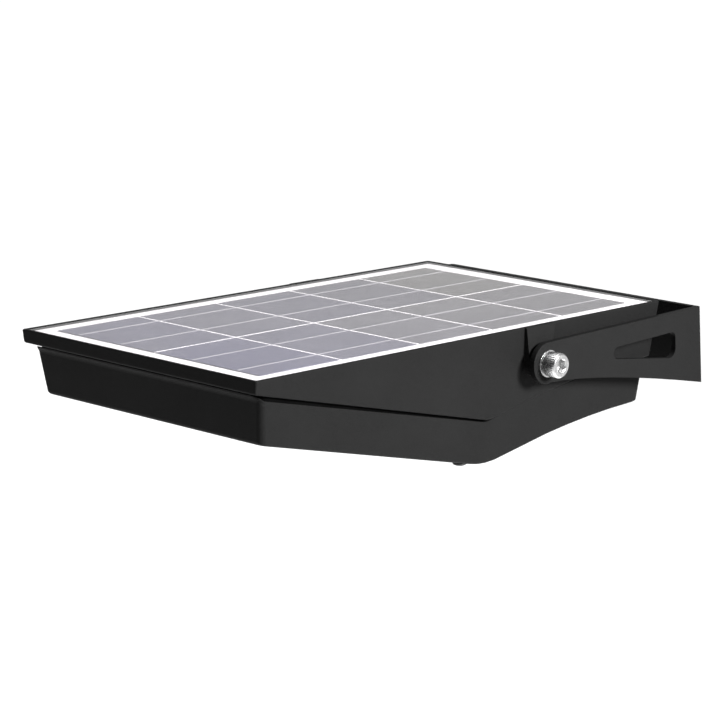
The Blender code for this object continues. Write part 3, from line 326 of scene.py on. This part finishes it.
def circuit_board():
    """Green solder mask over faint copper tracks."""
    look = Look("circuit_board")
    tracks = look.node(
        "ShaderNodeTexBrick",
        {
            "Vector": look.place,
            "Scale": 260.0,
            "Color1": (0.012, 0.11, 0.04, 1.0),
            "Color2": (0.016, 0.14, 0.05, 1.0),
            "Mortar": (0.03, 0.2, 0.08, 1.0),
            "Mortar Size": 0.04,
        },
    )
    fine = look.noise(1800.0, 2.0)
    roughness = look.spread(fine, 0.25, 0.4)
    normal = look.bump(tracks.outputs["Fac"], 0.1, 0.00004)
    colour = tracks.outputs["Color"]
    return look.finish(
        look.principled(Base_Color=colour, Roughness=roughness, Coat_Weight=0.3, Normal=normal)
    )


def make_looks():
    return {
        "black_paint": powder_coat(),
        "panel_pane": clear_pane("panel_pane", 0.2, 1300.0, 0.25, (0.95, 0.94, 0.95, 1.0)),
        "lamp_pane": clear_pane("lamp_pane", 0.04, 500.0, 0.02, (0.92, 0.95, 0.94, 1.0)),
        "white_sheet": white_film("backing_film", 0.66, 0.7),
        # the gap strips: the backing film painted brighter, as painted light on the lines between the cells
        "lit_gap_film": white_film("lit_gap_film", 0.86, 0.92),
        "rubber": moulded("black_rubber", grey(0.004), grey(0.007), 0.7, 0.85, 900.0, 0.12),
        # the gasket seal: black rubber darkened further and made nearly glossless, as painted shade in the
        # seam groove
        "shadow_black_seal": moulded("shadow_black_seal", grey(0.0006), grey(0.0012), 0.8, 0.9, 900.0, 0.01),
        "bright_steel": plated_steel(),
        "black_steel": blackened_steel(),
        "aluminium": drawn_aluminium(),
        "black_nylon": moulded("black_nylon", grey(0.012), grey(0.02), 0.45, 0.6),
        "white_plastic": moulded("white_plastic", grey(0.8, 0.98), grey(0.88, 0.97), 0.28, 0.4),
        "battery_wrap": moulded(
            "battery_wrap", (0.015, 0.07, 0.3, 1), (0.02, 0.09, 0.36, 1), 0.25, 0.35, 300.0
        ),
        "circuit_board": circuit_board(),
        "cable_sheath": moulded("cable_sheath", grey(0.01), grey(0.016), 0.4, 0.55, 1200.0),
        "ribbon": tinned_ribbon(),
        "phosphor": led_phosphor(),
        "lens": moulded("status_lens", (0.7, 0.72, 0.7, 1), (0.8, 0.82, 0.8, 1), 0.1, 0.18, 800.0),
    }


# ---------------------------------------------------------------- shapes


def ring_stack(made, rings, matrix):
    """Joins rings of equal length, each given as (x, y, z) points in millimetres, and caps both ends."""
    loops = [[made.verts.new(matrix @ (Vector(point) * MM)) for point in ring] for ring in rings]
    for first, second in zip(loops, loops[1:]):
        for index in range(len(first)):
            following = (index + 1) % len(first)
            made.faces.new((first[index], first[following], second[following], second[index]))
    made.faces.new(loops[0])
    made.faces.new(loops[-1])


def piece(name, made, material, body, replaced=(), smooth_angle=35.0):
    """Turns a bmesh in the row frame into a piece that rides on a body."""
    bmesh.ops.recalc_face_normals(made, faces=made.faces)
    mesh = bpy.data.meshes.new(name)
    made.to_mesh(mesh)
    made.free()
    mesh.materials.append(material)
    mesh.shade_smooth()
    mesh.set_sharp_from_angle(angle=radians(smooth_angle))
    obj = bpy.data.objects.new(name, mesh)
    bpy.context.scene.collection.objects.link(obj)
    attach(obj, body)
    if replaced:
        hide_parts(*replaced)
    return obj


def circle_radius(radius):
    """The same radius all round."""
    return lambda angle: radius


def knurled_radius(radius, depth, teeth):
    """A radius that rises and falls once for each tooth."""
    return lambda angle: radius - depth * abs(sin(angle * teeth / 2))


def hexagon_radius(across_flats):
    """The distance from a hexagon's middle to its edge."""
    def radius(angle):
        turned = (angle % (pi / 3)) - pi / 6
        return across_flats / 2 / cos(turned)

    return radius


def cross_radius(tip, waist):
    """A four-armed recess, as a screwdriver's cross point cuts."""
    return lambda angle: waist + (tip - waist) * abs(cos(2 * angle)) ** 4


def polar_ring(radius_at, along, count):
    angles = [2 * pi * index / count for index in range(count)]
    return [(radius_at(angle) * cos(angle), radius_at(angle) * sin(angle), along) for angle in angles]


def build_cap_screw(name, side, looks):
    """A socket cap screw: knurled head with a turned collar, hexagon socket, and a plain shank."""
    low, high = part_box(f"pivot_bolt_{name}")
    face_x = (high.x if side > 0 else -low.x) / MM
    tip_x = (low.x if side > 0 else -high.x) / MM
    seat_x = face_x - CAP_HEAD_LENGTH
    count = 3 * KNURL_TEETH
    plain = circle_radius
    knurl = knurled_radius(CAP_HEAD_RADIUS, KNURL_DEPTH, KNURL_TEETH)
    socket = hexagon_radius(SOCKET_ACROSS_FLATS)
    rings = [
        (plain(3.2), tip_x),
        (plain(SHANK_RADIUS), tip_x + 0.8),
        (plain(SHANK_RADIUS), seat_x - 0.4),
        (plain(4.1), seat_x),
        (plain(6.2), seat_x),
        (plain(COLLAR_RADIUS), seat_x + 0.25),
        (plain(COLLAR_RADIUS), seat_x + 1.1),
        (knurl, seat_x + 1.3),
        (knurl, face_x - 1.0),
        (plain(6.25), face_x - 0.7),
        (plain(5.9), face_x - 0.2),
        (plain(5.6), face_x),
        (plain(3.75), face_x),
        (socket, face_x - 0.5),
        (socket, face_x - SOCKET_DEPTH),
        (plain(1.2), face_x - 4.3),
    ]
    turn = Matrix.Rotation(side * pi / 2, 4, "Y")
    matrix = Matrix.Translation(PIVOT) @ turn
    made = bmesh.new()
    ring_stack(made, [polar_ring(radius, along, count) for radius, along in rings], matrix)
    replaced = [f"pivot_bolt_{name}"]
    piece(f"cap_screw_{name}", made, looks["bright_steel"], "head", replaced, 28.0)


def build_closing_screw(number, looks):
    """A pan head with a cross recess, seated where its CAD screw is."""
    name = f"housing_screw_{number}"
    low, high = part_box(name)
    middle = (low + high) / 2
    head_matrix = HEAD.inverted()
    top = max((head_matrix @ high).z, (head_matrix @ low).z) / MM
    bottom = min((head_matrix @ high).z, (head_matrix @ low).z) / MM
    centre = head_matrix @ middle
    place = HEAD @ Matrix.Translation((centre.x, centre.y, 0.0))
    radius = (high.x - low.x) / 2 / MM
    tilt_rise = 0.25
    face = bottom + tilt_rise
    count = 48
    rings = [
        (circle_radius(0.9), top - 0.4),
        (circle_radius(radius * 0.42), top - 1.4),
        (circle_radius(radius * 0.42), face + 1.4),
        (circle_radius(radius), face + 1.3),
        (circle_radius(radius), face + 0.75),
        (circle_radius(radius * 0.88), face + 0.3),
        (circle_radius(radius * 0.66), face),
        (cross_radius(radius * 0.6, radius * 0.2), face),
        (cross_radius(radius * 0.42, radius * 0.14), face + 1.0),
    ]
    made = bmesh.new()
    ring_stack(made, [polar_ring(shape, along, count) for shape, along in rings], place)
    piece(f"closing_screw_{number}", made, looks["black_steel"], "head", [name], 30.0)


def build_button_cap(looks):
    """The rubber cap: a shallow dish inside a raised ring, and the skirt that keeps it in its hole."""
    place = SERVICE @ Matrix.Translation((BUTTON_X * MM, 0.0, 0.0))
    profile = (
        (3.0, 4.0),
        (8.4, 4.0),
        (8.4, 2.8),
        (6.8, 2.8),
        (6.8, -0.3),
        (6.6, -0.75),
        (6.1, -1.08),
        (5.4, -1.2),
        (4.7, -1.1),
        (4.3, -0.75),
        (2.8, -0.5),
        (1.0, -0.4),
    )
    made = bmesh.new()
    ring_stack(made, [polar_ring(circle_radius(radius), along, 56) for radius, along in profile], place)
    piece("button_cap", made, looks["rubber"], "button", ["power_button"], 40.0)


def add_box(made, low, high, matrix):
    corners = ((low[0], low[1]), (high[0], low[1]), (high[0], high[1]), (low[0], high[1]))
    ring_stack(made, [[(x, y, z) for x, y in corners] for z in (low[2], high[2])], matrix)


def build_ribbons(looks):
    """Four flat ribbons that run over the cells from the front row to the rear row."""
    made = bmesh.new()
    half = CELL_AREA_LENGTH / 2 - RIBBON_END_GAP
    for x in RIBBON_XS:
        low = (x - RIBBON_WIDTH / 2, CELL_AREA_Y - half, CELL_TOP + 0.02)
        high = (x + RIBBON_WIDTH / 2, CELL_AREA_Y + half, CELL_TOP + 0.14)
        add_box(made, low, high, HEAD)
    piece("cell_ribbons", made, looks["ribbon"], "head")


def build_gap_strips(looks):
    """The white film as it shows between the cells, in a brighter copy of the backing film as painted light:
    four strips across, and one along the middle.
    """
    made = bmesh.new()
    front = CELL_AREA_Y - CELL_AREA_LENGTH / 2
    rear = CELL_AREA_Y + CELL_AREA_LENGTH / 2
    half_width = CELL_AREA_WIDTH / 2
    reach = CELL_SPACING / 2 - 0.02
    low_z = CELL_TOP - 0.2
    high_z = CELL_TOP - 0.01
    pitch = (CELL_AREA_LENGTH + CELL_SPACING) / CELL_ROWS
    add_box(made, (-reach, front, low_z), (reach, rear, high_z), HEAD)
    for row in range(1, CELL_ROWS):
        y = front + row * pitch - CELL_SPACING / 2
        for low_x, high_x in ((-half_width, -reach), (reach, half_width)):
            add_box(made, (low_x, y - reach, low_z), (high_x, y + reach, high_z), HEAD)
    piece("cell_gap_strips", made, looks["lit_gap_film"], "head")


def build_led_lenses(looks):
    """A round phosphor dome on each LED package."""
    made = bmesh.new()
    profile = ((1.45, 0.3), (1.45, 0.0), (1.3, -0.22), (0.9, -0.36), (0.4, -0.4))
    for column in range(LED_COLUMNS):
        for row in range(LED_ROWS):
            x = (column - (LED_COLUMNS - 1) / 2) * LED_PITCH
            y = (row - (LED_ROWS - 1) / 2) * LED_PITCH
            place = WINDOW @ Matrix.Translation(Vector((x, y, LED_FACE)) * MM)
            rings = [polar_ring(circle_radius(radius), along, 24) for radius, along in profile]
            ring_stack(made, rings, place)
    piece("led_lenses", made, looks["phosphor"], "head")


# ---------------------------------------------------------------- finishing the CAD nodes


def finish_cad_nodes(looks):
    """Each carried-over node takes the look of its slot, apart from the cells and four special nodes."""
    slots = {part["node"]: part["material_slot"] for part in frame["record"]["subparts"]}
    special = {
        "panel_cover": "panel_pane",
        "lamp_window": "lamp_pane",
        "status_light_pipe": "lens",
        # the gasket takes the seal that is darkened as painted shade in the seam
        "housing_gasket": "shadow_black_seal",
    }
    for name, obj in frame["nodes"].items():
        if name.startswith("solar_cell"):
            material = solar_silicon(int(name[-2:]))
        else:
            material = looks[special.get(name, slots[name])]
        obj.data.materials.clear()
        obj.data.materials.append(material)


# ---------------------------------------------------------------- studio


def build_camera():
    camera = bpy.data.objects.new("camera", bpy.data.cameras.new("camera"))
    bpy.context.scene.collection.objects.link(camera)
    camera.location = CAMERA_PLACE
    camera.rotation_euler = CAMERA_TURN
    camera.data.sensor_width = 36.0
    camera.data.lens = CAMERA_LENS_MM
    camera.data.clip_start = 0.05
    camera.data.clip_end = 100.0
    bpy.context.scene.camera = camera


def build_floor():
    """A plain pale floor, well below the light, which hangs on a wall."""
    made = bmesh.new()
    bmesh.ops.create_grid(made, x_segments=8, y_segments=8, size=FLOOR_HALF_SIDE)
    mesh = bpy.data.meshes.new("floor")
    made.to_mesh(mesh)
    made.free()
    floor = bpy.data.objects.new("floor", mesh)
    bpy.context.scene.collection.objects.link(floor)
    floor.location.z = FLOOR_Z
    look = Look("floor_paper")
    cloud = look.noise(1.5, 2.0)
    colour = look.mix(look.spread(cloud, 0.0, 1.0), grey(0.92), grey(0.94))
    surface = look.principled(Base_Color=colour, Roughness=0.9, Specular_IOR_Level=0.0)
    mesh.materials.append(look.finish(surface))


def build_lights():
    """A softbox at the right and a broad overhead light."""
    data = bpy.data.lights.new("side_softbox", "AREA")
    data.shape = "RECTANGLE"
    data.size = SOFTBOX_SIDE
    data.size_y = SOFTBOX_SIDE
    data.energy = SOFTBOX_WATTS
    data.spread = SOFTBOX_SPREAD
    softbox = bpy.data.objects.new("side_softbox", data)
    bpy.context.scene.collection.objects.link(softbox)
    softbox.location = SOFTBOX_PLACE
    towards = Vector(SOFTBOX_TARGET) - Vector(SOFTBOX_PLACE)
    softbox.rotation_euler = towards.to_track_quat("-Z", "Y").to_euler()
    data = bpy.data.lights.new("overhead", "SUN")
    data.energy = SUN_STRENGTH
    data.angle = SUN_ANGLE
    sun = bpy.data.objects.new("overhead", data)
    bpy.context.scene.collection.objects.link(sun)


def build_world():
    """A studio that is bright behind the light and dim in front of it."""
    world = bpy.data.worlds.new("studio")
    world.use_nodes = True
    tree = world.node_tree
    tree.nodes.clear()
    place = tree.nodes.new("ShaderNodeTexCoord").outputs["Generated"]
    dot = tree.nodes.new("ShaderNodeVectorMath")
    dot.operation = "DOT_PRODUCT"
    dot.inputs[1].default_value = BRIGHT_SIDE
    tree.links.new(place, dot.inputs[0])
    ramp = tree.nodes.new("ShaderNodeValToRGB")
    ramp.color_ramp.elements[0].position = 0.3
    ramp.color_ramp.elements[0].color = (0.1, 0.1, 0.102, 1.0)
    ramp.color_ramp.elements[1].position = 0.85
    ramp.color_ramp.elements[1].color = (1.0, 1.0, 1.0, 1.0)
    share = tree.nodes.new("ShaderNodeMapRange")
    share.inputs["From Min"].default_value = -1.0
    tree.links.new(dot.outputs["Value"], share.inputs["Value"])
    tree.links.new(share.outputs["Result"], ramp.inputs["Fac"])
    background = tree.nodes.new("ShaderNodeBackground")
    background.inputs["Strength"].default_value = WORLD_STRENGTH
    tree.links.new(ramp.outputs["Color"], background.inputs["Color"])
    output = tree.nodes.new("ShaderNodeOutputWorld")
    tree.links.new(background.outputs["Background"], output.inputs["Surface"])
    bpy.context.scene.world = world


def main():
    scene = bpy.context.scene
    scene.view_settings.view_transform = "Standard"
    scene.view_settings.look = "None"
    build_camera()
    looks = make_looks()
    finish_cad_nodes(looks)
    build_ribbons(looks)
    build_gap_strips(looks)
    build_led_lenses(looks)
    build_button_cap(looks)
    for side, name in ((1, "right"), (-1, "left")):
        build_cap_screw(name, side, looks)
    for number in range(1, CLOSING_SCREWS + 1):
        build_closing_screw(number, looks)
    build_floor()
    build_lights()
    build_world()


main()
